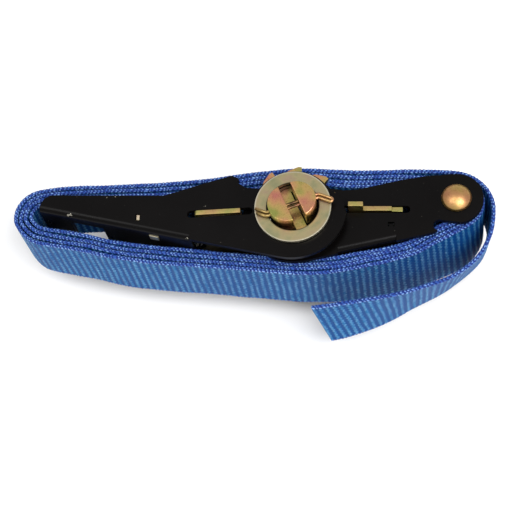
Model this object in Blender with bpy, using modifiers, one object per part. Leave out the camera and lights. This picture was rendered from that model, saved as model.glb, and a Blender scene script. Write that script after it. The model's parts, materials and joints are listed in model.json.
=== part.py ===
"""Ratchet tie down for 25 mm webbing, lying on its side with its strap wound round the buckle.

X runs along the buckle, from the handle's tip to the strap rivet. +Z is the spindle's axis, and the
object rests on the spindle's lower end. Every piece is drawn in millimetres from the middle of the
spindle, and hangs on an empty that stands there.
"""

import math

import bmesh
import bpy
from mathutils import Matrix, Vector

MM = 0.001

# Where the spindle stands, from the middle of the whole object's footprint
SPINDLE_X = 15.23
SPINDLE_Y = 6.6

# Spindle
MOON_TOP = 25.3            # half of the spindle's length
MOON_REACH = 8.0           # the half-moons' outermost radius
MOON_RADIUS = 6.45
SLOT_HALF = 2.1            # the strap slot between the half-moons, halved
SLOT_NORMAL = 25.3         # degrees from +X
RUNNING_GAP = 0.3
LOOSE_GAP = 0.25

# Side plates and wheels, outwards from the middle
FRAME_INNER = 13.5
PLATE = 1.6
WHEEL = 2.2
DISC = 1.3
FRAME_OUTER = FRAME_INNER + PLATE
WHEEL_LOW = FRAME_OUTER + RUNNING_GAP
HANDLE_INNER = WHEEL_LOW + WHEEL + RUNNING_GAP
HANDLE_OUTER = HANDLE_INNER + PLATE
DISC_LOW = HANDLE_OUTER + RUNNING_GAP
DISC_TOP = DISC_LOW + DISC
BEND = 1.9                 # outer radius of the channels' bends
LAP = 0.6                  # how far the flat plates run into the channels' backed stretches,
SKIN = 0.02                # and how far they lie under those stretches' faces

TEETH = 10
TIP_RADIUS = 16.0
ROOT_RADIUS = 12.9
TIP_ANGLE = 84.0
DISC_RADIUS = 12.5
DISC_HOLE = 8.5

# Cotter pins, each a wire folded in two and bent over at both ends
PIN_WIRE = 0.57
PIN_SPLIT = 0.62           # half the distance between the two legs
PIN_LEVEL = DISC_TOP + RUNNING_GAP + PIN_WIRE
PIN_TURN = 22.0
PIN_BEND = -43.0
PIN_KNEE = 9.0
PIN_LEG = 4.2

# Handle
HANDLE_CAM = 17.45         # lobe that holds the frame pawl back while the handle lies flat
HANDLE_HUB = 13.4
HANDLE_TIP = (-84.9, -0.8)
WEB_END = -33.0
WINDOW = (-75.0, -63.7)
WINDOW_TOP = 14.5
LUG = (-47.4, -44.4)       # where the spring's strip pokes through the handle's back
LUG_LEVEL = (14.0, 16.6)

# Frame
FRAME_LOBE = 16.9          # holds the handle pawl back while the handle lies flat
FRAME_HUB = 13.0
FRAME_EDGE = ((10.0, -15.2), (45.0, -7.0))
FRAME_WEB = (14.0, 34.0)
FRAME_WEB_INSET = 0.9
RIVET = (52.6, 5.7)
FRAME_END = 8.8

# Pawls slide along a line through the spindle (handle) and beside it (frame)
PAWL = 1.6
HANDLE_PAWL_TURN = 3.7
HANDLE_PAWL = (17.25, 32.3)
FRAME_PAWL_Y = 1.7
FRAME_PAWL = (17.75, 35.3)
TONGUE = 1.6
SPRING_RADIUS = 2.4
WIRE = 0.4
SEAT = 1.2                 # thickness of the strips that the springs push on
HANDLE_SEAT = 51.2
FRAME_SEAT = 33.6
HANDLE_TAB = (HANDLE_SEAT - 0.5, HANDLE_SEAT + 0.5, -0.9, 0.9)
FRAME_TAB = (30.9, 32.4, -5.8, -4.8)

# Anchor at the frame's end
RIVET_SHANK = 2.5
RIVET_HEAD = 4.95
RIVET_DOME = 2.4
SLEEVE = (2.8, 3.4)

# Strap
STRAP_HALF = 12.5
STRAP_THICK = 1.2
STRAP_GAP = 0.28
TURNS = 4
STRAP_STEP = 3.2


def polar(radius, degrees, centre=(0.0, 0.0)):
    a = math.radians(degrees)
    return (centre[0] + radius * math.cos(a), centre[1] + radius * math.sin(a))


def arc(radius, start, end, centre=(0.0, 0.0), step=7.5):
    count = max(2, math.ceil(abs(end - start) / step) + 1)
    return [polar(radius, start + (end - start) * i / (count - 1), centre) for i in range(count)]


def circle(radius, centre=(0.0, 0.0), count=40):
    return [polar(radius, 360 * i / count, centre) for i in range(count)]


def both_sides(levels):
    low, high = levels
    return (low, high), (-high, -low)


def stadium(x_low, x_high, y_mid, half):
    """A slot along X with round ends."""
    right = arc(half, -90, 90, (x_high - half, y_mid), 22.5)
    left = arc(half, 90, 270, (x_low + half, y_mid), 22.5)
    return right + left


def rectangle(x_low, x_high, y_low, y_high):
    return [(x_low, y_low), (x_high, y_low), (x_high, y_high), (x_low, y_high)]


def room_round(box):
    low_x, high_x, low_y, high_y = box
    gap = RUNNING_GAP
    return rectangle(low_x - gap, high_x + gap, low_y - gap, high_y + gap)


def turned(points, degrees):
    spin = Matrix.Rotation(math.radians(degrees), 2)
    return [tuple(spin @ Vector(p)) for p in points]


def smooth_route(points, step, closed=False):
    """Evenly spaced points on a Catmull-Rom curve through the given ones."""
    count = len(points)
    fine = []
    for i in range(count if closed else count - 1):
        if closed:
            a, b, c, d = (Vector(points[(i + k) % count]) for k in (-1, 0, 1, 2))
        else:
            a, b, c, d = (Vector(points[min(max(i + k, 0), count - 1)]) for k in (-1, 0, 1, 2))
        for k in range(24):
            t = k / 24
            fine.append(0.5 * (2 * b + (c - a) * t + (2 * a - 5 * b + 4 * c - d) * t * t
                               + (3 * b - a - 3 * c + d) * t ** 3))
    fine.append(Vector(points[0] if closed else points[-1]))
    length = sum((q - p).length for p, q in zip(fine, fine[1:]))
    stations = max(2, round(length / step))
    out, walked, i = [], 0.0, 0
    for k in range(stations):
        target = length * k / stations
        while walked + (fine[i + 1] - fine[i]).length < target:
            walked += (fine[i + 1] - fine[i]).length
            i += 1
        span = (fine[i + 1] - fine[i]).length
        out.append(fine[i].lerp(fine[i + 1], (target - walked) / span))
    return out if closed else out + [fine[-1]]


def left_normals(points):
    """The unit normal on the left of the walk, at each point of an open line."""
    normals = []
    for i in range(len(points)):
        along = points[min(i + 1, len(points) - 1)] - points[max(i - 1, 0)]
        normals.append(Vector((-along.y, along.x)).normalized())
    return normals


def band(points, half):
    """The outline of a strip of even width along a line."""
    sides = [[tuple(p + n * s) for p, n in zip(points, left_normals(points))] for s in (half, -half)]
    return sides[0] + sides[1][::-1]


def set_up():
    for old in list(bpy.data.objects):
        bpy.data.objects.remove(old, do_unlink=True)
    parts = bpy.data.collections.new("ratchet_tie_down")
    cutters = bpy.data.collections.new("cutters")
    for collection in (parts, cutters):
        bpy.context.scene.collection.children.link(collection)
    axis = bpy.data.objects.new("spindle_axis", None)
    axis.location = (SPINDLE_X * MM, SPINDLE_Y * MM, MOON_TOP * MM)
    parts.objects.link(axis)
    return parts, cutters, axis


PARTS, CUTTERS, AXIS = set_up()


def material(name, colour, metallic, roughness):
    made = bpy.data.materials.new(name)
    made.use_nodes = True
    shader = made.node_tree.nodes["Principled BSDF"]
    shader.inputs["Base Color"].default_value = (*colour, 1.0)
    shader.inputs["Metallic"].default_value = metallic
    shader.inputs["Roughness"].default_value = roughness
    return made


BLACK = (0.012, 0.012, 0.013)
YELLOW_ZINC = (0.62, 0.50, 0.22)
DULL_ZINC = (0.50, 0.47, 0.33)
BLUE = (0.03, 0.13, 0.55)


def finish(obj, colour, metallic=1.0, roughness=0.35, sharp=35):
    obj.data.materials.clear()
    obj.data.materials.append(material(obj.name + "_finish", colour, metallic, roughness))
    obj.data.shade_smooth()
    obj.data.set_sharp_from_angle(angle=math.radians(sharp))
    obj.parent = AXIS
    PARTS.objects.link(obj)
    return obj


def as_mesh(curve_object, name):
    """The curve's evaluated mesh, with its caps welded on, in place of the curve."""
    bpy.context.scene.collection.objects.link(curve_object)
    bpy.context.view_layer.update()
    seen = curve_object.evaluated_get(bpy.context.evaluated_depsgraph_get())
    mesh = bpy.data.meshes.new_from_object(seen)
    mesh.transform(curve_object.matrix_world)
    mesh.name = name
    bpy.data.objects.remove(curve_object, do_unlink=True)
    edit = bmesh.new()
    edit.from_mesh(mesh)
    bmesh.ops.remove_doubles(edit, verts=edit.verts, dist=0.0000005)
    bmesh.ops.recalc_face_normals(edit, faces=edit.faces)
    edit.to_mesh(mesh)
    edit.free()
    return bpy.data.objects.new(name, mesh)


def prism(name, loops, low, high, turn=None):
    """A flat outline, with any holes after it, drawn in XY and extruded from low to high."""
    curve = bpy.data.curves.new(name, "CURVE")
    curve.dimensions = "2D"
    curve.fill_mode = "BOTH"
    curve.extrude = (high - low) / 2 * MM
    for loop in loops:
        spline = curve.splines.new("POLY")
        spline.points.add(len(loop) - 1)
        for point, (x, y) in zip(spline.points, loop):
            point.co = (x * MM, y * MM, 0, 1)
        spline.use_cyclic_u = True
    obj = bpy.data.objects.new(name, curve)
    place = Matrix.Translation((0, 0, (low + high) / 2 * MM))
    obj.matrix_world = turn @ place if turn else place
    return as_mesh(obj, name)


def wire(name, points, radius):
    """A round wire along points given in metres."""
    curve = bpy.data.curves.new(name, "CURVE")
    curve.dimensions = "3D"
    curve.bevel_depth = radius * MM
    curve.bevel_resolution = 2
    curve.use_fill_caps = True
    spline = curve.splines.new("POLY")
    spline.points.add(len(points) - 1)
    for point, place in zip(spline.points, points):
        point.co = (*place, 1)
    return as_mesh(bpy.data.objects.new(name, curve), name)


def turned_piece(name, profile, centre, steps=40):
    """A profile of (radius, z) pairs, outer side first from top to bottom, turned about centre."""
    mesh = bpy.data.meshes.new(name)
    count = len(profile)
    closed = profile[0][0] > 0
    edges = [(i, i + 1) for i in range(count - 1)] + ([(count - 1, 0)] if closed else [])
    mesh.from_pydata([(r * MM, 0, z * MM) for r, z in profile], edges, [])
    obj = bpy.data.objects.new(name, mesh)
    screw = obj.modifiers.new("turn", "SCREW")
    screw.steps = screw.render_steps = steps
    screw.use_merge_vertices = True
    screw.merge_threshold = 0.000001
    obj.location = (centre[0] * MM, centre[1] * MM, 0)
    return obj


def boolean(obj, other, operation):
    """Joins, cuts or intersects obj with other, which stays as a hidden guide."""
    other.hide_render = True
    other.display_type = "WIRE"
    other.parent = AXIS
    CUTTERS.objects.link(other)
    step = obj.modifiers.new(operation.lower(), "BOOLEAN")
    step.object = other
    step.operation = operation
    step.solver = "EXACT"


ALONG_Y = Matrix.Rotation(math.radians(90), 4, "X")      # draws (x, z) and extrudes along -Y

# Each pawl, with its spring and bridge, is drawn with its line along X
HANDLE_PLACE = Matrix.Rotation(math.radians(180 + HANDLE_PAWL_TURN), 4, "Z")
FRAME_PLACE = Matrix.Translation((0, FRAME_PAWL_Y * MM, 0))


def right_of(outline, x):
    """The part of an outline on the +X side of a line across it."""
    kept = []
    for a, b in zip(outline, outline[1:] + outline[:1]):
        if a[0] >= x:
            kept.append(a)
        if (a[0] - x) * (b[0] - x) < 0:
            kept.append((x, a[1] + (b[1] - a[1]) * (x - a[0]) / (b[0] - a[0])))
    return kept


def left_of(outline, x):
    return [(-px, py) for px, py in right_of([(-px, py) for px, py in outline], -x)]


def shrunk(outline):
    """The outline, smaller by the skin all round."""
    pairs = list(zip(outline[-1:] + outline[:-1], outline, outline[1:] + outline[:1]))
    area = sum(p[0] * n[1] - n[0] * p[1] for _, p, n in pairs)
    inwards = math.copysign(SKIN, area)
    moved = []
    for before, here, after in pairs:
        along = (Vector(here) - Vector(before)).normalized() + (Vector(after) - Vector(here)).normalized()
        moved.append(tuple(Vector(here) + Vector((-along.y, along.x)).normalized() * inwards))
    return moved


def add_plates(obj, name, outline, outer):
    """Flat side plates, where the channel has no back between them."""
    for side, levels in zip(("upper", "lower"), both_sides((outer - PLATE + SKIN, outer - SKIN))):
        boolean(obj, prism(f"{name}_{side}", [outline], *levels), "UNION")


def channel(name, edge_point, edge_turn, outer, outline, depth=60.0):
    """A bent channel: its back lies along the edge line, and its sides are cut to the outline."""
    inner = outer - PLATE
    bend_in = BEND - PLATE
    upper = arc(BEND, 90, 180, (BEND, outer - BEND), 22.5)
    lower = arc(BEND, 180, 270, (BEND, BEND - outer), 22.5)
    lower_in = arc(bend_in, 270, 180, (BEND, BEND - outer), 45)
    upper_in = arc(bend_in, 180, 90, (BEND, outer - BEND), 45)
    section = ([(depth, outer)] + upper + lower + [(depth, -outer), (depth, -inner)]
               + lower_in + upper_in + [(depth, inner)])
    # The section is drawn as (across, up) and extruded along the edge line
    lay = Matrix(((0, 0, 1, 0), (1, 0, 0, 0), (0, 1, 0, 0), (0, 0, 0, 1)))
    place = (Matrix.Translation((edge_point[0] * MM, edge_point[1] * MM, 0))
             @ Matrix.Rotation(math.radians(edge_turn), 4, "Z") @ lay)
    body = prism(name, [section], -120, 120, place)
    boolean(body, prism(name + "_outline", [outline], -30, 30), "INTERSECT")
    return body


def line_angle(start, end):
    return math.degrees(math.atan2(end[1] - start[1], end[0] - start[0]))


def tangent_turn():
    """The near edge of the handle runs from its tip to touch the cam's circle."""
    distance = math.hypot(*HANDLE_TIP)
    towards = math.degrees(math.atan2(-HANDLE_TIP[1], -HANDLE_TIP[0]))
    return towards - math.degrees(math.asin(HANDLE_CAM / distance))


def handle_outline():
    cam = arc(HANDLE_CAM, tangent_turn() - 90, -5)
    release = [(16.55, 0.6), (16.4, 2.6), (13.8, 5.3)]
    hub = arc(HANDLE_HUB, 41, 148)
    notch = [(-16.2, 7.5), (-18.8, 9.3), (-18.3, 10.3), (-18.9, 11.0), (-20.8, 11.9)]
    top = [(-30.7, 8.8), (-37.8, 6.3), (-43.0, 4.6), (-81.4, 4.7)]
    tip = [(-83.4, 3.6), (-84.4, 1.6), HANDLE_TIP]
    return cam + release + hub + notch + top + tip


def frame_outline():
    start, end = (Vector(p) for p in FRAME_EDGE)
    slope = (end.y - start.y) / (end.x - start.x)
    foot = (3.4, start.y + slope * (3.4 - start.x))
    lobe = arc(FRAME_LOBE, -80, -195)
    hub = arc(FRAME_HUB, 162, 48)
    top = [(16.0, 8.55), (20.8, 8.9), (27.0, 10.4), (35.1, 12.4), (43.2, 13.8)]
    nose = arc(FRAME_END, 100, -78, RIVET)
    notch = arc(2.0, 60, 250, (47.2, -3.9), 30)
    return [foot] + lobe + hub + top + nose + notch + [(45.0, -6.6)]


def pawl_slot(pawl, room):
    return stadium(pawl[0] - 4.0, pawl[1] + room, 0.0, PAWL / 2 + 0.45)


def cut_through(obj, name, loops, turn=None, reach=30):
    for i, loop in enumerate(loops):
        boolean(obj, prism(f"{name}_{i}", [loop], -reach, reach, turn), "DIFFERENCE")


def handle_channel():
    outline = handle_outline()
    obj = channel("handle_channel", HANDLE_TIP, tangent_turn(), HANDLE_OUTER, outline)
    # The back stops short of the spindle, and a window is cut through it near the tip
    gap = rectangle(WEB_END, 30, -40, 20)
    boolean(obj, prism("handle_back_gap", [gap], -30, 30), "DIFFERENCE")
    add_plates(obj, "handle_plate", right_of(shrunk(outline), WEB_END - LAP), HANDLE_OUTER)
    window = rectangle(*WINDOW, -12, 0.5)
    boolean(obj, prism("handle_window", [window], 3.0 - HANDLE_INNER, WINDOW_TOP), "DIFFERENCE")
    for i, (low, high) in enumerate(both_sides(LUG_LEVEL)):
        room = rectangle(LUG[0] - RUNNING_GAP, LUG[1] + RUNNING_GAP, -12, -5)
        cutter = prism(f"handle_lug_hole_{i}", [room], low - RUNNING_GAP, high + RUNNING_GAP)
        boolean(obj, cutter, "DIFFERENCE")
    slot = turned(pawl_slot(HANDLE_PAWL, 2.6), 180 + HANDLE_PAWL_TURN)
    cut_through(obj, "handle_hole", [circle(MOON_REACH + RUNNING_GAP), slot])
    cut_through(obj, "handle_tab_hole", [room_round(HANDLE_TAB)], HANDLE_PLACE)
    return finish(obj, BLACK, 0.0, 0.28)


def frame_channel():
    start, end = FRAME_EDGE
    outline = frame_outline()
    back_start = (start[0], start[1] + FRAME_WEB_INSET)
    obj = channel("frame_channel", back_start, line_angle(start, end), FRAME_OUTER, outline)
    for i, (low, high) in enumerate(((-30, FRAME_WEB[0]), (FRAME_WEB[1], 70))):
        boolean(obj, prism(f"frame_back_gap_{i}", [rectangle(low, high, -40, 20)], -30, 30), "DIFFERENCE")
    add_plates(obj, "frame_hub_plate", left_of(shrunk(outline), FRAME_WEB[0] + LAP), FRAME_OUTER)
    add_plates(obj, "frame_nose_plate", right_of(shrunk(outline), FRAME_WEB[1] - LAP), FRAME_OUTER)
    slot = [(x, y + FRAME_PAWL_Y) for x, y in pawl_slot(FRAME_PAWL, 2.5)]
    rivet_hole = circle(RIVET_SHANK + RUNNING_GAP, RIVET, 24)
    cut_through(obj, "frame_hole", [circle(MOON_REACH + RUNNING_GAP), slot, rivet_hole])
    cut_through(obj, "frame_tab_hole", [room_round(FRAME_TAB)], FRAME_PLACE)
    return finish(obj, BLACK, 0.0, 0.28)


def half_moon(name, side):
    """A half-round bar; its flat faces the strap slot. Both cotter pins pass through it."""
    centre = MOON_REACH - MOON_RADIUS
    edge = math.degrees(math.acos((SLOT_HALF - centre) / MOON_RADIUS))
    outline = turned(arc(MOON_RADIUS, -edge, edge, (centre, 0.0), 9), SLOT_NORMAL + (0 if side > 0 else 180))
    obj = prism(name, [outline], -MOON_TOP, MOON_TOP)
    high, wide = PIN_WIRE + LOOSE_GAP, PIN_SPLIT + PIN_WIRE + LOOSE_GAP
    for i, level in enumerate((PIN_LEVEL, -PIN_LEVEL)):
        hole = rectangle(-high, high, -wide, wide)
        along = (Matrix.Translation((0, 0, level * MM)) @ Matrix.Rotation(math.radians(PIN_TURN), 4, "Z")
                 @ Matrix.Rotation(math.radians(90), 4, "Y"))
        boolean(obj, prism(f"{name}_pin_hole_{i}", [hole], -12, 12, along), "DIFFERENCE")
    return finish(obj, YELLOW_ZINC, 1.0, 0.3)


def moon_hole(side):
    """The half-moon's outline with working room all round."""
    centre = MOON_REACH - MOON_RADIUS
    radius = MOON_RADIUS + LOOSE_GAP
    edge = math.degrees(math.acos((SLOT_HALF - LOOSE_GAP - centre) / radius))
    return turned(arc(radius, -edge, edge, (centre, 0.0), 9), SLOT_NORMAL + (0 if side > 0 else 180))


def ratchet_wheel(name, low):
    """Saw teeth: each rises slowly anticlockwise and drops steeply on its clockwise side."""
    pitch = 360 / TEETH
    outline = []
    for i in range(TEETH):
        tip = TIP_ANGLE + i * pitch
        outline += [polar(ROOT_RADIUS, tip - 2.5)] + [polar(TIP_RADIUS, tip + a) for a in (-1.0, 3.0)]
        outline += [polar(ROOT_RADIUS + 1.9, tip + 15.0), polar(ROOT_RADIUS, tip + 30.0)]
    obj = prism(name, [outline, moon_hole(1), moon_hole(-1)], low, low + WHEEL)
    return finish(obj, YELLOW_ZINC, 1.0, 0.32)


def end_disc(name, low):
    obj = prism(name, [circle(DISC_RADIUS, count=64), circle(DISC_HOLE, count=48)], low, low + DISC)
    return finish(obj, DULL_ZINC, 1.0, 0.45)


def cotter_pin(name, side):
    """Both legs cross the half-moons side by side. The fold and the two ends are bent over."""
    bend = math.radians(PIN_BEND)
    out = Vector((math.cos(bend), math.sin(bend)))
    knee, soft = Vector((PIN_KNEE, 0)), 0.6
    rounding = knee + (out - Vector((1, 0))) * 0.25 * soft
    right = [knee - Vector((soft, 0)), rounding, knee + out * soft]
    half_line = [Vector((0, 0))] + right + [knee + out * PIN_LEG]
    line = [-p for p in reversed(half_line[1:])] + half_line
    normals = left_normals(line)
    leg, other = ([p + n * s for p, n in zip(line, normals)] for s in (PIN_SPLIT, -PIN_SPLIT))
    fold = [line[-1] + out * PIN_SPLIT * math.sin(a) + normals[-1] * PIN_SPLIT * math.cos(a)
            for a in (math.pi * k / 6 for k in range(1, 6))]
    other[0] += (other[1] - other[0]) * 0.3
    spin = Matrix.Rotation(math.radians(PIN_TURN), 2)
    path = [Vector((*(spin @ p), side * PIN_LEVEL)) * MM for p in leg + fold + other[::-1]]
    return finish(wire(name, path, PIN_WIRE), YELLOW_ZINC, 1.0, 0.35)


def flat_pawl(name, outline, place):
    """A pawl is a flat plate drawn as (along, up) and PAWL thick."""
    obj = prism(name, [outline], -PAWL / 2, PAWL / 2, place @ ALONG_Y)
    return finish(obj, YELLOW_ZINC, 1.0, 0.4)


def frame_pawl():
    near, far = FRAME_PAWL
    half = [(near, 19.4), (22.6, 19.4), (22.6, 15.9), (31.8, 15.9), (31.8, 15.1), (far, 15.1),
            (far, 13.3), (30.4, 13.3), (30.4, 8.0), (24.4, 8.0), (24.4, TONGUE), (far + 2.0, TONGUE)]
    outline = half + [(x, -z) for x, z in reversed(half)]
    return flat_pawl("frame_pawl", outline, FRAME_PLACE)


def handle_pawl():
    near, far = HANDLE_PAWL
    half = [(near, 20.5), (far - 0.6, 20.5), (far, 19.9), (far, 12.0), (far + 2.2, 11.0),
            (far + 2.2, 6.5), (far, 5.5), (far, TONGUE), (far + 20.0, TONGUE)]
    outline = half + [(x, -z) for x, z in reversed(half)]
    return flat_pawl("handle_pawl", outline, HANDLE_PLACE)


def coil(name, start, end, place, turns):
    steps = 10 * turns
    points = []
    for i in range(steps + 1):
        t = i / steps
        eased = t - 0.035 * math.sin(2 * math.pi * t)
        a = 2 * math.pi * turns * t
        x = start + (end - start) * eased
        points.append(place @ (Vector((x, SPRING_RADIUS * math.cos(a), SPRING_RADIUS * math.sin(a))) * MM))
    return finish(wire(name, points, WIRE), (0.45, 0.45, 0.44), 1.0, 0.3)


def bridge(name, route, tab, inner, outer, place):
    """A strip that a pawl's spring pushes on: tabs hold it in both side plates, and the pawl's
    tongue runs through its hole."""
    obj = prism(name, [band([Vector(p) for p in route], SEAT / 2)], -inner, inner, place)
    boolean(obj, prism(name + "_tabs", [rectangle(*tab)], -outer, outer, place), "UNION")
    x = route[-1][0]
    hole = rectangle(x - 4, x + 4, -(TONGUE + 0.5), TONGUE + 0.5)
    boolean(obj, prism(name + "_hole", [hole], -(PAWL / 2 + 0.4), PAWL / 2 + 0.4, place @ ALONG_Y),
            "DIFFERENCE")
    return obj


def bridges():
    route = [(HANDLE_SEAT, 2.0), (HANDLE_SEAT, -3.9)]
    obj = bridge("handle_spring_bridge", route, HANDLE_TAB, HANDLE_INNER - 0.4, HANDLE_OUTER - 0.2,
                 HANDLE_PLACE)
    low, high = LUG
    lug = [(-51.4, -4.4), (-51.4, -5.5), (low, -5.5), (low, -8.7), (high, -9.3), (high, -4.4)]
    for i, levels in enumerate(both_sides(LUG_LEVEL)):
        boolean(obj, prism(f"handle_lug_{i}", [lug], *levels), "UNION")
    finish(obj, YELLOW_ZINC, 1.0, 0.4)
    route = [(27.6, -5.3), (FRAME_SEAT, -5.3), (FRAME_SEAT, 4.0)]
    obj = bridge("frame_spring_bridge", route, FRAME_TAB, 12.9, FRAME_OUTER - 0.6, FRAME_PLACE)
    finish(obj, BLACK, 0.0, 0.28)


def springs():
    gap = WIRE + 0.35
    coil("handle_pawl_spring", HANDLE_PAWL[1] + gap, HANDLE_SEAT - SEAT / 2 - gap, HANDLE_PLACE, 8)
    coil("frame_pawl_spring", 24.4 + gap, FRAME_SEAT - SEAT / 2 - gap, FRAME_PLACE, 5)


def anchor_rivet():
    head = FRAME_OUTER + RUNNING_GAP
    dome_radius = (RIVET_HEAD ** 2 + RIVET_DOME ** 2) / (2 * RIVET_DOME)
    dome = []
    for i in range(9):
        r = RIVET_HEAD * i / 8
        dome.append((r, head + RIVET_DOME - dome_radius + math.sqrt(dome_radius ** 2 - r ** 2)))
    top = dome + [(RIVET_SHANK, head)]
    obj = turned_piece("anchor_rivet", top + [(r, -z) for r, z in reversed(top)], RIVET, 32)
    return finish(obj, YELLOW_ZINC, 1.0, 0.22)


def anchor_sleeve():
    inner, outer = SLEEVE
    half = FRAME_INNER - RUNNING_GAP
    obj = turned_piece("anchor_sleeve", [(outer, half), (outer, -half), (inner, -half), (inner, half)],
                       RIVET, 28)
    return finish(obj, DULL_ZINC, 1.0, 0.4)


# The strap's middle turn as (x, y, distance to the next turn), clockwise from the rivet: the near
# side, round the handle's tip, and the far side
ROUTE = [
    (59.5, 4.3, 1.42), (58.2, 1.4, 1.42), (55.4, -1.1, 1.42), (50.5, -4.1, 1.42), (44.3, -7.5, 1.42),
    (38.6, -11.0, 1.42), (30.8, -13.4, 1.43), (22.9, -15.1, 1.44), (15.0, -16.8, 1.45),
    (6.5, -17.6, 1.53), (-3.4, -17.4, 1.58), (-23.4, -15.6, 1.6), (-45.1, -13.7, 1.68),
    (-59.3, -11.9, 1.7), (-69.7, -9.5, 1.75), (-78.1, -8.0, 1.78), (-84.5, -6.8, 1.75),
    (-88.3, -5.4, 1.71), (-91.6, -2.1, 1.68), (-92.3, 0.2, 1.68), (-91.7, 3.2, 1.68),
    (-89.5, 6.0, 1.69), (-85.2, 7.6, 1.7), (-72.8, 8.5, 1.71), (-56.2, 8.9, 1.73), (-32.0, 10.4, 1.75),
    (-13.8, 13.2, 1.75), (2.4, 14.5, 1.74), (17.6, 13.4, 1.69), (30.8, 13.6, 1.64), (43.0, 13.5, 1.52),
    (51.2, 13.0, 1.46), (56.7, 11.4, 1.42), (59.4, 8.1, 1.42),
]
# Its last stretch: it leaves the roll on the far side, stands off the rivet end, and ends in the open
TAIL = [
    (43.2, 17.0), (51.3, 16.7), (57.1, 14.8), (61.2, 11.4), (63.5, 7.2), (64.1, 2.6), (61.6, -5.6),
    (56.8, -12.0), (49.5, -18.0), (40.5, -22.4), (30.5, -26.4), (19.5, -29.2), (8.6, -30.8),
]
LOOP_END = (44.0, -2.6)    # where the sewn end of the anchor loop lies against the strap


def strap_line():
    """From the loop round the sleeve, out through the turns, to the free end."""
    turn = smooth_route(ROUTE, STRAP_STEP, closed=True)
    count = len(turn)
    leave = min(range(count), key=lambda i: (turn[i].xy - Vector((30.8, 13.6))).length)
    line = []
    for i in range((TURNS - 1) * count + leave + 1):
        here, ahead, behind = turn[i % count], turn[(i + 1) % count], turn[(i - 1) % count]
        along = ahead - behind
        outward = Vector((-along.y, along.x)).normalized()
        line.append(here.xy + outward * here.z * (i / count - TURNS / 2))
    loop_radius = SLEEVE[1] + STRAP_GAP + STRAP_THICK / 2
    loop = [LOOP_END] + arc(loop_radius, 150, -38, RIVET, 12)
    skip = next(i for i, p in enumerate(line) if (p - Vector(RIVET)).length > loop_radius + 1.5)
    inner = smooth_route([(*p, 0) for p in loop + line[skip:skip + 3]], STRAP_STEP / 2)
    outer = smooth_route([(*p, 0) for p in [line[-1]] + TAIL], STRAP_STEP)
    return [p.xy for p in inner[:-1]] + line[skip + 2:-1] + [p.xy for p in outer]


def strap():
    obj = prism("strap", [band(strap_line(), STRAP_THICK / 2)], -STRAP_HALF, STRAP_HALF)
    return finish(obj, BLUE, 0.0, 0.75, 25)


frame_channel()
handle_channel()
half_moon("half_moon_a", 1)
half_moon("half_moon_b", -1)
ratchet_wheel("ratchet_wheel_upper", WHEEL_LOW)
ratchet_wheel("ratchet_wheel_lower", -WHEEL_LOW - WHEEL)
end_disc("end_disc_upper", DISC_LOW)
end_disc("end_disc_lower", -DISC_TOP)
cotter_pin("cotter_pin_upper", 1)
cotter_pin("cotter_pin_lower", -1)
frame_pawl()
handle_pawl()
bridges()
springs()
anchor_rivet()
anchor_sleeve()
strap()
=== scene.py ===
"""Looks for the ratchet tie down: woven webbing, painted and plated metal, a pale floor."""

import json
import math

import bpy
import numpy as np
from mathutils import Matrix, Vector


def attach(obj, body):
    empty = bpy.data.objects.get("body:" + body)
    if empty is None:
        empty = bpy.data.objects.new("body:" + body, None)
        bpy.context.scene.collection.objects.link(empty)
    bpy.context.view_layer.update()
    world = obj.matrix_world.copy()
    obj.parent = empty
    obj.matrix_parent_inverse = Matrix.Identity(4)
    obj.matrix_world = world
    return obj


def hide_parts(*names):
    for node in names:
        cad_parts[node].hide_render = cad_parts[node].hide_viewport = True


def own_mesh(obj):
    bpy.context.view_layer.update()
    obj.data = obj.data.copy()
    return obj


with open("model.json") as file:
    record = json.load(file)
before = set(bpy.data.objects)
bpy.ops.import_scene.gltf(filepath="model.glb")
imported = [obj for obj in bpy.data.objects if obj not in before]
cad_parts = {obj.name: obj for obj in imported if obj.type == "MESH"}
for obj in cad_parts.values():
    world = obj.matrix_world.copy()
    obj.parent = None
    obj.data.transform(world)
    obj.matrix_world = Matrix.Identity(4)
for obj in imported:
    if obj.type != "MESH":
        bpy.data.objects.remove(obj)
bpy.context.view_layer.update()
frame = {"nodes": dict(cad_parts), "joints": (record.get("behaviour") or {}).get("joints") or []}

MM = 0.001
AXIS = Vector(next(j for j in frame["joints"] if j["name"] == "handle_swing")["pos_m"])

# Webbing, in millimetres
WIDTH = 25.0
THICK = 1.2
RIB = 2.23                 # distance between the cross ribs
YARN = 0.9                 # distance between the lengthwise yarns
RIB_HEIGHT = 0.17
SELVEDGE = 0.9             # width of the dense edge
STITCH = 1.25              # distance between the selvedge's loops
KNOT = 0.1                 # how far they stand out
ALONG = 0.3                # mesh spacing along the webbing
MAP_SHIFT = 20.0           # keeps the webbing's map coordinates above zero
# Mesh places across each face, as shares of its half width, and the share where the ribs end
FACE = (1.0, 0.975, 0.93, 0.9, 0.75, 0.5, 0.25, 0.0, -0.25, -0.5, -0.75, -0.9, -0.93, -0.975, -1.0)
RIBBED = 0.95
# Unevenness along the webbing, as (height, length, phase)
SAG = ((0.24, 71.0, 1.3), (0.11, 23.0, 0.4), (0.05, 9.7, 2.2))
SWAY = ((0.35, 47.0, 0.7), (0.25, 19.0, 2.0))      # in degrees
LOOP_SHIFT = ((0.9, 7.3, 0.0), (0.6, 3.1, 1.0))    # in radians
LOOP_SIZE = ((0.3, 5.7, 0.5), (0.3, 2.9, 2.0))     # as a share of KNOT
# The outermost near turn's lower edge stands out: x, and half of how far
SPREAD = ((2, 28, 42, 53, 60), (0.0, 0.9, 1.3, 1.9, 0.0))

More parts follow.
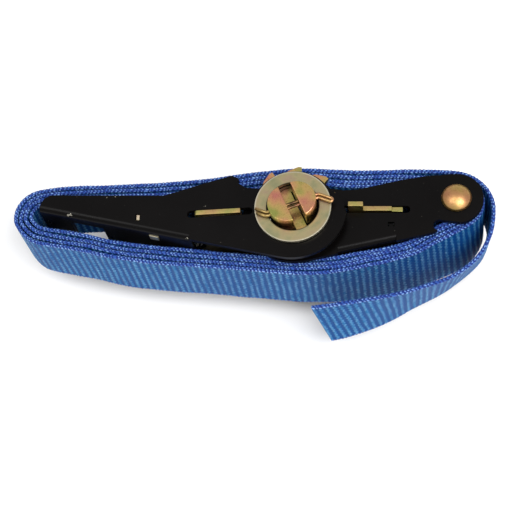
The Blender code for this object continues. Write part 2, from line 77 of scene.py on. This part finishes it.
# The strap's middle turn as (x, y, distance to the next turn), from the spindle's axis, clockwise
# from the rivet: near side, round the handle's tip, far side
ROUTE = [
    (59.5, 4.3, 1.42), (58.2, 1.4, 1.42), (55.4, -1.1, 1.42), (50.5, -4.1, 1.42),
    (44.3, -7.5, 1.42), (38.6, -11.0, 1.42), (30.8, -13.4, 1.43), (22.9, -15.1, 1.44),
    (15.0, -16.8, 1.45), (6.5, -17.6, 1.53), (-3.4, -17.4, 1.58), (-23.4, -15.6, 1.6),
    (-45.1, -13.7, 1.68), (-59.3, -11.9, 1.7), (-69.7, -9.5, 1.75), (-78.1, -8.0, 1.78),
    (-84.5, -6.8, 1.75), (-88.3, -5.4, 1.71), (-91.6, -2.1, 1.68), (-92.3, 0.2, 1.68),
    (-91.7, 3.2, 1.68), (-89.5, 6.0, 1.69), (-85.2, 7.6, 1.7), (-72.8, 8.5, 1.71),
    (-56.2, 8.9, 1.73), (-32.0, 10.4, 1.75), (-13.8, 13.2, 1.75), (2.4, 14.5, 1.74),
    (17.6, 13.4, 1.69), (30.8, 13.6, 1.64), (43.0, 13.5, 1.52), (51.2, 13.0, 1.46),
    (56.7, 11.4, 1.42), (59.4, 8.1, 1.42),
]
TURNS = 4
LEAVE = (30.8, 13.6)       # where the last turn leaves the roll
# The loose end as (x, y, how far its middle drops, degrees that its upper edge leans outwards)
TAIL = [
    (43.2, 17.0, 0.0, 0.0), (51.3, 16.7, 0.0, 0.0), (57.1, 14.8, 0.0, 1.0),
    (61.2, 11.4, 0.0, 1.5), (63.5, 7.2, 0.0, 2.0), (63.9, 2.6, 0.0, 3.0),
    (62.0, -5.2, 0.0, 7.5), (57.4, -12.1, 0.0, 12.5), (49.8, -18.3, 0.0, 12.5),
    (40.5, -22.6, 0.3, 8.5), (30.5, -26.4, 0.9, 2.0), (19.5, -29.2, 2.4, -4.0),
    (8.6, -30.8, 4.5, -6.5),
]
# The loop round the sleeve on the rivet
RIVET = (52.6, 5.7)
LOOP_RADIUS = 4.28
LOOP_ANGLES = (150, -38, 11)    # from, to, points
LOOP_END = (44.0, -2.6)
LOOP_GAP = 1.5                  # between the loop and the first turn
JOIN = 6                        # length over which the two run into each other
EASE = 41                       # stations over which the outermost turn begins to lean

# Springs as (body, seat's distance from the spindle's axis, length at rest)
SPRINGS = (("handle", 49.85, 16.8), ("frame", 32.25, 7.1))


PER_SPAN = 60              # samples of a curve between two given points


def smooth_route(points, step, closed=False):
    """Evenly spaced points on a Catmull-Rom curve through the given ones, of any dimension."""
    given = np.array(points, float)
    count = len(given)
    spans = count if closed else count - 1
    pick = (lambda k: given[k % count]) if closed else (lambda k: given[min(max(k, 0), count - 1)])
    fine = []
    for i in range(spans):
        a, b, c, d = (pick(i + k) for k in (-1, 0, 1, 2))
        t = np.linspace(0, 1, PER_SPAN, endpoint=False)[:, None]
        fine.append(0.5 * (2 * b + (c - a) * t + (2 * a - 5 * b + 4 * c - d) * t * t
                           + (3 * b - a - 3 * c + d) * t ** 3))
    fine = np.concatenate(fine + [given[:1] if closed else given[-1:]])
    walked = np.concatenate([[0], np.cumsum(np.linalg.norm(np.diff(fine[:, :2], axis=0), axis=1))])
    stations = max(2, round(walked[-1] / step)) + (0 if closed else 1)
    at = np.linspace(0, walked[-1], stations, endpoint=not closed)
    return np.stack([np.interp(at, walked, fine[:, k]) for k in range(given.shape[1])], axis=1)


def strap_line(step):
    """Stations (x, y, drop, lean): round the sleeve, out through the turns, to the free end."""
    turn = smooth_route(ROUTE, step, closed=True)
    count = len(turn)
    leave = int(np.argmin(np.linalg.norm(turn[:, :2] - LEAVE, axis=1)))
    index = np.arange((TURNS - 1) * count + leave + 1)
    here, ahead, behind = (turn[(index + k) % count] for k in (0, 1, -1))
    along = ahead[:, :2] - behind[:, :2]
    outward = np.stack([-along[:, 1], along[:, 0]], axis=1) / np.linalg.norm(along, axis=1)[:, None]
    line = here[:, :2] + outward * (here[:, 2] * (index / count - TURNS / 2))[:, None]
    # The outermost near turn leans, so that its lower edge meets the loose end
    last = (index >= (TURNS - 1) * count) & (here[:, 1] < 3)
    spread = np.where(last, np.interp(here[:, 0], *SPREAD), 0)
    ease = np.hanning(EASE)
    spread = np.convolve(spread, ease / ease.sum(), "same")
    line += outward * spread[:, None]
    lean = -np.degrees(np.arcsin(2 * spread / WIDTH))
    clear = np.linalg.norm(line - RIVET, axis=1) > LOOP_RADIUS + LOOP_GAP
    start_at = int(np.argmax(clear))
    line, lean = line[start_at:], lean[start_at:]
    angles = np.radians(np.linspace(*LOOP_ANGLES))
    loop = np.stack([RIVET[0] + LOOP_RADIUS * np.cos(angles),
                     RIVET[1] + LOOP_RADIUS * np.sin(angles)], axis=1)
    skip = round(JOIN / step)
    inner = smooth_route(np.concatenate([[LOOP_END], loop, line[:skip:max(1, skip // 3)]]), step)
    none = np.zeros(len(inner) - 1)
    flat = [np.column_stack([inner[:-1], none, none]),
            np.column_stack([line, np.zeros(len(line)), lean])[skip:-1]]
    start = [(line[-1][0], line[-1][1], 0.0, 0.0)]
    return np.concatenate(flat + [smooth_route(start + TAIL, step)])


def grid_mesh(name, points):
    """A tube of quads from points[station, place], with flat caps at both ends."""
    rows, cols = points.shape[:2]
    mesh = bpy.data.meshes.new(name)
    index = np.arange(rows * cols).reshape(rows, cols)
    nxt = np.roll(index, -1, axis=1)
    quads = np.stack([index[:-1], index[1:], nxt[1:], nxt[:-1]], axis=-1).reshape(-1, 4)
    mesh.from_pydata((points.reshape(-1, 3) * MM).tolist(), [],
                     quads.tolist() + [index[0].tolist(), index[-1][::-1].tolist()])
    return mesh


def waves(u, terms):
    """A sum of sines as (height, length, phase)."""
    return sum(height * np.sin(2 * np.pi * u / length + phase) for height, length, phase in terms)


def webbing_mesh(name, line):
    """Woven strip: cross ribs on both faces, and looped selvedges."""
    centre = np.column_stack([line[:, 0], line[:, 1], -line[:, 2]])
    tangent = np.gradient(centre, axis=0)
    tangent /= np.linalg.norm(tangent, axis=1)[:, None]
    flat = np.stack([-tangent[:, 1], tangent[:, 0], np.zeros(len(line))], axis=1)
    flat /= np.linalg.norm(flat, axis=1)[:, None]
    up = np.cross(flat, tangent)
    up *= np.sign(up[:, 2:3])
    u = np.concatenate([[0], np.cumsum(np.linalg.norm(np.diff(centre, axis=0), axis=1))])
    centre[:, 2] += waves(u, SAG)
    lean = np.radians(line[:, 3] + waves(u, SWAY))[:, None]
    across = up * np.cos(lean) + flat * np.sin(lean)
    out = flat * np.cos(lean) - up * np.sin(lean)

    half_w, half_t = WIDTH / 2, THICK / 2
    bulge = half_t * 0.8
    face = np.array(FACE) * (half_w - bulge)
    rim = np.radians(np.array([67.5, 22.5, -22.5, -67.5]))
    # Round the section: outer face downwards, lower rim, inner face upwards, upper rim
    past = face[0] + bulge * np.cos(rim)
    side = np.concatenate([face, -past, face[::-1], past])
    depth = np.concatenate([np.full(len(face), half_t), half_t * np.sin(rim),
                            np.full(len(face), -half_t), -half_t * np.sin(rim)])
    ribbed, bare = np.abs(FACE) < RIBBED, np.zeros(len(rim))
    on_face = np.concatenate([ribbed, bare, ribbed, bare])[None, :]
    sign = np.sign(depth)[None, :]
    phase = 2 * np.pi * u[:, None] / RIB
    crest = (0.5 + 0.5 * np.cos(phase + np.pi * (sign < 0))) ** 1.3
    relief = (crest - 0.55) * RIB_HEIGHT * on_face
    uneven = waves(u, LOOP_SHIFT)[:, None]
    loops = np.cos(2 * np.pi * u[:, None] / STITCH + uneven + 1.4 * np.abs(depth[None, :]) / half_t)
    loops *= KNOT * (1 + waves(u, LOOP_SIZE))[:, None] * (1 - on_face)
    along_out = depth[None, :] + sign * (relief + 0.35 * loops)
    along_across = side[None, :] + np.sign(side)[None, :] * loops
    points = (centre[:, None, :] + out[:, None, :] * along_out[:, :, None]
              + across[:, None, :] * along_across[:, :, None])
    points += np.array(AXIS) / MM
    mesh = grid_mesh(name, points)
    corner = np.zeros(len(mesh.loops), np.int64)
    mesh.loops.foreach_get("vertex_index", corner)
    row, col = corner // points.shape[1], corner % points.shape[1]
    for layer, other in (("weave", side), ("rim", depth)):
        uv = mesh.uv_layers.new(name=layer)
        coords = np.stack([u[row], other[col] + MAP_SHIFT], axis=1) * MM
        uv.data.foreach_set("uv", coords.astype(np.float32).ravel())
    mesh.shade_smooth()
    return mesh


def add(obj):
    bpy.context.scene.collection.objects.link(obj)
    return obj


# Materials ---------------------------------------------------------------------------------------

def new_material(name, roughness=0.5, metallic=0.0, colour=(0.5, 0.5, 0.5)):
    made = bpy.data.materials.new(name)
    made.use_nodes = True
    shader = made.node_tree.nodes["Principled BSDF"]
    shader.inputs["Roughness"].default_value = roughness
    shader.inputs["Metallic"].default_value = metallic
    shader.inputs["Base Color"].default_value = (*colour, 1)
    return made, made.node_tree, shader


def node(tree, kind, **settings):
    made = tree.nodes.new(kind)
    for key, value in settings.items():
        if key in made.inputs:
            made.inputs[key].default_value = value
        else:
            setattr(made, key, value)
    return made


def maths(tree, operation, a, b=None, c=None, clamp=False):
    made = tree.nodes.new("ShaderNodeMath")
    made.operation = operation
    made.use_clamp = clamp
    for socket, value in zip(made.inputs, (a, b, c)):
        if value is None:
            continue
        if isinstance(value, (int, float)):
            socket.default_value = value
        else:
            tree.links.new(value, socket)
    return made.outputs[0]


def times(tree, a, b):
    return maths(tree, "MULTIPLY", a, b)


def plus(tree, a, b):
    return maths(tree, "ADD", a, b)


def scaled(tree, value, factor, offset, clamp=False):
    return maths(tree, "MULTIPLY_ADD", value, factor, offset, clamp)


def steps(tree, value, low, high):
    """0 below low and 1 above high, smooth between."""
    made = node(tree, "ShaderNodeMapRange", interpolation_type="SMOOTHSTEP")
    tree.links.new(value, made.inputs["Value"])
    made.inputs["From Min"].default_value = low
    made.inputs["From Max"].default_value = high
    return made.outputs["Result"]


def wave(tree, value, length, phase=0.0):
    """0 to 1 and back once each length along value."""
    angle = scaled(tree, value, 2 * math.pi / (length * MM), phase)
    return scaled(tree, maths(tree, "COSINE", angle), 0.5, 0.5)


def noise(tree, coords, scale, detail=3.0, rough=0.5):
    made = node(tree, "ShaderNodeTexNoise", Scale=scale, Detail=detail, Roughness=rough)
    tree.links.new(coords, made.inputs["Vector"])
    return made.outputs["Fac"]


def stretched(tree, coords, amounts):
    made = node(tree, "ShaderNodeVectorMath", operation="MULTIPLY")
    tree.links.new(coords, made.inputs[0])
    made.inputs[1].default_value = amounts
    return made.outputs[0]


def ramp(tree, factor, stops):
    """Colour stops as (place, colour)."""
    made = tree.nodes.new("ShaderNodeValToRGB")
    elements = made.color_ramp.elements
    while len(elements) < len(stops):
        elements.new(0.5)
    for element, (place, colour) in zip(elements, stops):
        element.position = place
        element.color = (*colour, 1)
    tree.links.new(factor, made.inputs[0])
    return made.outputs["Color"]


def mix_colour(tree, factor, a, b, blend="MIX"):
    made = node(tree, "ShaderNodeMix", data_type="RGBA", blend_type=blend)
    for socket, value in ((made.inputs[0], factor), (made.inputs[6], a), (made.inputs[7], b)):
        if isinstance(value, (int, float)):
            socket.default_value = value
        elif isinstance(value, tuple):
            socket.default_value = (*value, 1)
        else:
            tree.links.new(value, socket)
    return made.outputs[2]


def bump(tree, shader, height, distance, strength=1.0):
    made = node(tree, "ShaderNodeBump", Strength=strength, Distance=distance)
    tree.links.new(height, made.inputs["Height"])
    tree.links.new(made.outputs["Normal"], shader.inputs["Normal"])


def object_coords(tree):
    return tree.nodes.new("ShaderNodeTexCoord").outputs["Object"]


# Colours are linear
YARN_BLUES = (0.008, 0.130, 0.36), (0.018, 0.185, 0.43)
# GROOVE_SHADE_BLUE is painted shade in the grooves between the yarn floats
GROOVE_SHADE_BLUE = (0.004, 0.062, 0.24)
# HIGHLIGHT_BLUE is a painted highlight on the yarn crests
HIGHLIGHT_BLUE = (0.30, 0.62, 0.86)
# EDGE_BLUES go from painted shade between the loops to the loop crests' blue; EDGE_LIT is a painted
# highlight
EDGE_BLUES = (0.016, 0.034, 0.19), (0.042, 0.120, 0.47)
EDGE_LIT = (0.30, 0.52, 0.90)
BLACKS = (0.0014, 0.0011, 0.0011), (0.0028, 0.0022, 0.0022)
DUST = (0.3, 0.28, 0.25)
BARE_STEEL = (0.42, 0.40, 0.33)
# Painted shade for metal that sits in shadow
DEEP_SHADE = (0.012, 0.010, 0.008)


def webbing_material():
    """Blue polyester: ribs on the faces and chevron loops along the edges, with painted shade in
    the hollows and painted highlights on the crests.
    """
    made, tree, shader = new_material("blue_webbing", 0.5)
    shader.inputs["Specular IOR Level"].default_value = 0.09
    places = []
    for layer in ("weave", "rim"):
        uv = node(tree, "ShaderNodeUVMap", uv_map=layer)
        split = tree.nodes.new("ShaderNodeSeparateXYZ")
        tree.links.new(uv.outputs[0], split.inputs[0])
        places.append((uv.outputs[0], split.outputs[0], split.outputs[1]))
    (flat, u, v), (_, _, through) = places
    side = maths(tree, "ABSOLUTE", maths(tree, "SUBTRACT", v, MAP_SHIFT * MM))
    depth = maths(tree, "SUBTRACT", through, MAP_SHIFT * MM)
    inner = maths(tree, "LESS_THAN", depth, 0.0)
    coords = object_coords(tree)
    broad = noise(tree, coords, 45, 2.0)
    patch = noise(tree, coords, 420, 2.0, 0.6)
    fibre = noise(tree, stretched(tree, flat, (1.0, 5.0, 1.0)), 1500, 3.0, 0.6)
    drift = noise(tree, stretched(tree, flat, (1.0, 0.4, 1.0)), 330, 2.0)
    stray = scaled(tree, drift, 0.0011, -0.00055)
    along = plus(tree, u, stray)

    # Faces: ribs across, each a row of short lengthwise yarn floats that step a little to and fro
    zig = maths(tree, "PINGPONG", v, YARN * MM)
    speckle_highlight = steps(tree, noise(tree, stretched(tree, flat, (1.0, 1.6, 1.0)), 900, 1.0), 0.56, 0.7)
    shift = plus(tree, times(tree, inner, 0.5 * RIB * MM),
                  times(tree, zig, 0.35))
    ribs = wave(tree, plus(tree, along, shift), RIB)
    yarns = wave(tree, v, YARN)
    floats = times(tree, steps(tree, ribs, 0.18, 0.95),
                   scaled(tree, steps(tree, yarns, 0.05, 0.6), 0.7, 0.3))
    base = mix_colour(tree, steps(tree, broad, 0.35, 0.65), *YARN_BLUES)
    # Painted shade: the faces darken towards the grooves between the floats
    groove_shaded = mix_colour(tree, floats, GROOVE_SHADE_BLUE, base)
    # Painted highlight: pale flecks on the crests of the floats, and scattered specks
    crest_highlight = times(tree, steps(tree, floats, 0.6, 0.95), steps(tree, patch, 0.34, 0.6))
    crest_highlight = times(tree, crest_highlight, scaled(tree, fibre, 0.6, 0.05))
    crest_highlight = scaled(tree, times(tree, speckle_highlight, floats), 0.45, crest_highlight, clamp=True)
    face = mix_colour(tree, crest_highlight, groove_shaded, HIGHLIGHT_BLUE)
    face_height = plus(tree, floats, times(tree, fibre, 0.35))

    # Selvedges: chevron loops of tight yarn, with painted shade between the loops and a painted
    # highlight on their crests
    astray = scaled(tree, noise(tree, coords, 520, 3.0, 0.6), 0.0026, -0.0013)
    bent = scaled(tree, maths(tree, "ABSOLUTE", depth), 0.9, plus(tree, u, astray))
    loops = wave(tree, bent, STITCH)
    halves = steps(tree, wave(tree, depth, 0.62), 0.1, 0.7)
    tight = times(tree, steps(tree, loops, 0.15, 0.8), scaled(tree, halves, 0.5, 0.5))
    lit = times(tree, steps(tree, tight, 0.55, 0.95), steps(tree, patch, 0.36, 0.6))
    edge = mix_colour(tree, tight, *EDGE_BLUES)
    edge = mix_colour(tree, times(tree, lit, 0.75), edge, EDGE_LIT)
    edge_height = plus(tree, times(tree, tight, 1.2), times(tree, fibre, 0.3))

    border = WIDTH / 2 - SELVEDGE
    at_edge = steps(tree, side, (border - 0.25) * MM, (border + 0.1) * MM)
    tree.links.new(mix_colour(tree, at_edge, face, edge), shader.inputs["Base Color"])
    rough = scaled(tree, fibre, 0.4, 0.3)
    tree.links.new(rough, shader.inputs["Roughness"])
    height = node(tree, "ShaderNodeMix", data_type="FLOAT")
    heights = (at_edge, face_height, edge_height)
    for socket, value in zip(height.inputs[:1] + height.inputs[2:4], heights):
        tree.links.new(value, socket)
    bump(tree, shader, height.outputs[0], 0.00022)
    return made


def black_paint():
    """Gloss black over pressed steel: faint orange peel, smudges, dust and a few chips."""
    made, tree, shader = new_material("black_paint", 0.3)
    shader.inputs["Specular IOR Level"].default_value = 0.10
    coords = object_coords(tree)
    chips = times(tree, steps(tree, noise(tree, coords, 620, 2.0), 0.735, 0.76),
                  steps(tree, noise(tree, coords, 70, 1.0), 0.5, 0.56))
    dust = steps(tree, noise(tree, coords, 1900, 1.0), 0.76, 0.84)
    smudge = noise(tree, coords, 45, 4.0)
    colour = mix_colour(tree, smudge, *BLACKS)
    colour = mix_colour(tree, times(tree, dust, 0.12), colour, DUST)
    colour = mix_colour(tree, chips, colour, BARE_STEEL)
    tree.links.new(colour, shader.inputs["Base Color"])
    tree.links.new(chips, shader.inputs["Metallic"])
    tree.links.new(scaled(tree, smudge, 0.28, 0.17), shader.inputs["Roughness"])
    peel = maths(tree, "SUBTRACT", noise(tree, coords, 700, 2.0), chips)
    bump(tree, shader, peel, 0.00004, 0.5)
    return made


def zinc_tint(tree, coords, scale):
    return ramp(tree, noise(tree, coords, scale, 2.0, 0.5),
                [(0.36, (0.36, 0.37, 0.10)), (0.45, (0.60, 0.42, 0.15)),
                 (0.53, (0.66, 0.34, 0.17)), (0.63, (0.60, 0.22, 0.17))])


BY_RADIUS, BY_LEVEL = 0, 1     # which of the distances that from_axis gives


def from_axis(tree, coords):
    """(distance from the spindle's axis, distance from its middle along the axis)"""
    away = node(tree, "ShaderNodeVectorMath", operation="SUBTRACT")
    tree.links.new(coords, away.inputs[0])
    away.inputs[1].default_value = AXIS
    split = tree.nodes.new("ShaderNodeSeparateXYZ")
    tree.links.new(away.outputs[0], split.inputs[0])
    square = plus(tree, maths(tree, "POWER", split.outputs[0], 2.0),
                   maths(tree, "POWER", split.outputs[1], 2.0))
    return maths(tree, "SQRT", square), maths(tree, "ABSOLUTE", split.outputs[2])


def yellow_zinc(name="yellow_zinc", scale=95, shine=0.22, cast=None, shade_fade=None):
    """Yellow passivated zinc: gold, with pink and green casts and a fine crystal grain.

    Painted shade is (BY_RADIUS or BY_LEVEL, from, to): full at from and gone at to, in millimetres.
    """
    made, tree, shader = new_material(name, 0.3, 1.0)
    coords = object_coords(tree)
    colour = zinc_tint(tree, coords, scale)
    if cast:
        colour = mix_colour(tree, cast[0], colour, cast[1])
    crystal = node(tree, "ShaderNodeTexVoronoi", Scale=2600.0)
    tree.links.new(coords, crystal.inputs["Vector"])
    grain = noise(tree, coords, 1500, 3.0, 0.65)
    dark = times(tree, steps(tree, grain, 0.45, 0.75), 0.4)
    shaded = mix_colour(tree, dark, colour, (0.30, 0.22, 0.10), "MULTIPLY")
    # Painted shade: darker towards the spindle's middle or axis
    if shade_fade:
        where = from_axis(tree, coords)[shade_fade[0]]
        in_shade = steps(tree, where, shade_fade[2] * MM, shade_fade[1] * MM)
        shaded = mix_colour(tree, times(tree, in_shade, 0.94), shaded, DEEP_SHADE)
    tree.links.new(shaded, shader.inputs["Base Color"])
    tree.links.new(scaled(tree, grain, 0.3, shine - 0.06), shader.inputs["Roughness"])
    relief = plus(tree, grain, times(tree, crystal.outputs["Distance"], 0.4))
    bump(tree, shader, relief, 0.00004, 0.6)
    return made


def turned_zinc():
    """Dull khaki zinc with fine turning rings about the spindle and a paler worn rim."""
    made, tree, shader = new_material("turned_zinc", 0.42, 1.0)
    coords = object_coords(tree)
    radius = from_axis(tree, coords)[BY_RADIUS]
    ring = node(tree, "ShaderNodeTexNoise", noise_dimensions="1D", Scale=7000.0, Detail=2.0)
    tree.links.new(radius, ring.inputs["W"])
    tint = noise(tree, coords, 190, 3.0)
    colour = ramp(tree, tint, [(0.35, (0.40, 0.39, 0.22)), (0.5, (0.50, 0.43, 0.24)),
                                (0.65, (0.47, 0.36, 0.24))])
    worn = times(tree, steps(tree, radius, 11.9 * MM, 12.4 * MM), 0.7)
    colour = mix_colour(tree, worn, colour, (0.78, 0.74, 0.60))
    dark = times(tree, ring.outputs["Fac"], 0.45)
    lined = mix_colour(tree, dark, colour, (0.2, 0.18, 0.12), "MULTIPLY")
    # Painted shade: the hole's inner wall is near black
    lined = mix_colour(tree, steps(tree, radius, 8.9 * MM, 8.55 * MM), lined, (0.03, 0.025, 0.02))
    tree.links.new(lined, shader.inputs["Base Color"])
    tree.links.new(scaled(tree, tint, 0.3, 0.25), shader.inputs["Roughness"])
    bump(tree, shader, ring.outputs["Fac"], 0.00003, 0.5)
    return made


def spring_steel():
    made, tree, shader = new_material("spring_steel", 0.28, 1.0)
    coords = object_coords(tree)
    colour = ramp(tree, noise(tree, coords, 400, 2.0),
                  [(0.3, (0.34, 0.34, 0.33)), (0.7, (0.52, 0.52, 0.5))])
    tree.links.new(colour, shader.inputs["Base Color"])
    return made


# Metal pieces ------------------------------------------------------------------------------------

WELD_GAP = 0.002
FOLD_WELD_GAP = 0.03
FLAT_WITHIN = math.radians(0.6)
FOLD_ANGLE = math.radians(15)


def dress(obj, made, bevel=0.0, angle=28, folds=False):
    """Material, bevel in millimetres, and shading that stays sharp past angle, or at folds."""
    mesh = obj.data
    if "custom_normal" in mesh.attributes:
        mesh.attributes.remove(mesh.attributes["custom_normal"])
    mesh.materials.clear()
    mesh.materials.append(made)
    weld = obj.modifiers.new("weld", "WELD")
    weld.merge_threshold = (FOLD_WELD_GAP if folds else WELD_GAP) * MM
    flatten = obj.modifiers.new("flatten", "DECIMATE")
    flatten.decimate_type = "DISSOLVE"
    flatten.angle_limit = FLAT_WITHIN
    if bevel:
        edge = obj.modifiers.new("bevel", "BEVEL")
        edge.width = bevel * MM
        edge.segments = 2
        edge.limit_method = "ANGLE"
        edge.angle_limit = math.radians(angle)
        edge.use_clamp_overlap = True
    mesh.shade_smooth()
    if folds:
        mesh.set_sharp_from_angle(angle=FOLD_ANGLE)
    if bevel:
        weighted = obj.modifiers.new("weighted", "WEIGHTED_NORMAL")
        weighted.weight = 100
        weighted.keep_sharp = folds
    else:
        mesh.set_sharp_from_angle(angle=math.radians(angle))


def dress_metal():
    """Finishes each metal CAD node; the springs' copies are dressed in springs()."""
    black, gold, khaki = black_paint(), yellow_zinc(), turned_zinc()
    # Painted shade: the half-moons' walls darken downwards, the pawls towards their middles, the
    # cotter pins near the axis
    moon = yellow_zinc("moon_zinc", shade_fade=(BY_LEVEL, 19.0, 24.2))
    olive = yellow_zinc("pawl_zinc", 130, 0.24, (0.55, (0.47, 0.43, 0.15)), (BY_LEVEL, 12.0, 15.5))
    pale = yellow_zinc("bridge_zinc", 130, 0.3, (0.7, (0.62, 0.60, 0.48)))
    copper = yellow_zinc("pin_zinc", 200, 0.25, (0.6, (0.42, 0.22, 0.11)), (BY_RADIUS, 0.0, 3.5))
    brass = yellow_zinc("rivet_zinc", 110, 0.32, (0.5, (0.44, 0.27, 0.08)))
    for names, made, settings in (
        (("frame_channel", "handle_channel"), black, dict(bevel=0.18, folds=True)),
        (("frame_spring_bridge",), black, dict(bevel=0.15)),
        (("half_moon_a", "half_moon_b"), moon, dict(bevel=0.35)),
        (("ratchet_wheel_upper", "ratchet_wheel_lower"), gold, dict(bevel=0.12)),
        (("frame_pawl", "handle_pawl"), olive, dict(bevel=0.15)),
        (("handle_spring_bridge",), pale, dict(bevel=0.15)),
        (("end_disc_upper", "end_disc_lower"), khaki, dict(bevel=0.25)),
        (("cotter_pin_upper", "cotter_pin_lower"), copper, dict(angle=50)),
        (("anchor_rivet",), brass, dict(angle=50)),
        (("anchor_sleeve",), khaki, dict(angle=50)),
    ):
        for name in names:
            dress(frame["nodes"][name], made, **settings)


def strap():
    """One woven strip stands for the strap's CAD solid."""
    line = strap_line(ALONG)
    obj = add(bpy.data.objects.new("webbing", webbing_mesh("webbing", line)))
    obj.data.materials.append(webbing_material())
    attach(obj, "frame")
    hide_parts("strap")
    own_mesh(obj)


def springs():
    """A copy of each spring, dressed in spring steel, stands for its CAD solid and is attached to
    its body.
    """
    steel = spring_steel()
    for body, seat, length in SPRINGS:
        name = body + "_pawl_spring"
        solid = frame["nodes"][name]
        obj = add(bpy.data.objects.new(body + "_coil", solid.data.copy()))
        obj.matrix_world = solid.matrix_world.copy()
        dress(obj, steel, angle=60)
        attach(obj, body)
        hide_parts(name)
        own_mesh(obj)


# Floor, light and camera -------------------------------------------------------------------------

CAMERA_AT = Vector((51.5, -205.4, 458.7)) * MM
CAMERA_RIGHT = (0.99149, 0.05533, -0.11784)
CAMERA_UP = (-0.00434, 0.91874, 0.39484)
CAMERA_BACK = (0.13011, -0.39097, 0.91116)
FOCAL = 36.0 * 1500 / 512      # sensor width x focal length / width, the last two in pixels
FLOOR_REACH = 3.0
FLOOR_GREY = (0.93, 0.93, 0.93)
WORLD_STRENGTH = 0.65


def camera():
    data = bpy.data.cameras.new("camera")
    data.lens = FOCAL
    data.clip_start = 0.01
    obj = add(bpy.data.objects.new("camera", data))
    turn = Matrix((CAMERA_RIGHT, CAMERA_UP, CAMERA_BACK)).transposed().to_4x4()
    obj.matrix_world = Matrix.Translation(AXIS + CAMERA_AT) @ turn
    bpy.context.scene.camera = obj


def area_light(name, at, size, power):
    data = bpy.data.lights.new(name, "AREA")
    data.shape = "RECTANGLE"
    data.size = data.size_y = size
    data.energy = power
    obj = add(bpy.data.objects.new(name, data))
    obj.location = at
    obj.rotation_euler = (AXIS - Vector(at)).to_track_quat("-Z", "Y").to_euler()


def stage():
    mesh = bpy.data.meshes.new("floor")
    square = ((-1, -1), (1, -1), (1, 1), (-1, 1))
    corners = [(x * FLOOR_REACH, y * FLOOR_REACH, 0) for x, y in square]
    mesh.from_pydata(corners, [], [(0, 1, 2, 3)])
    made, _, shader = new_material("floor", 0.9, 0.0, FLOOR_GREY)
    shader.inputs["Specular IOR Level"].default_value = 0.1
    mesh.materials.append(made)
    add(bpy.data.objects.new("floor", mesh))
    world = bpy.data.worlds.new("studio")
    world.use_nodes = True
    background = world.node_tree.nodes["Background"]
    background.inputs["Color"].default_value = (1, 1, 1, 1)
    background.inputs["Strength"].default_value = WORLD_STRENGTH
    bpy.context.scene.world = world
    area_light("key", (-0.35, -0.10, 0.92), 0.5, 2.6)
    area_light("fill", (0.44, -0.30, 0.88), 0.6, 8.4)
    bpy.context.scene.view_settings.view_transform = "Standard"


camera()
stage()
dress_metal()
strap()
springs()
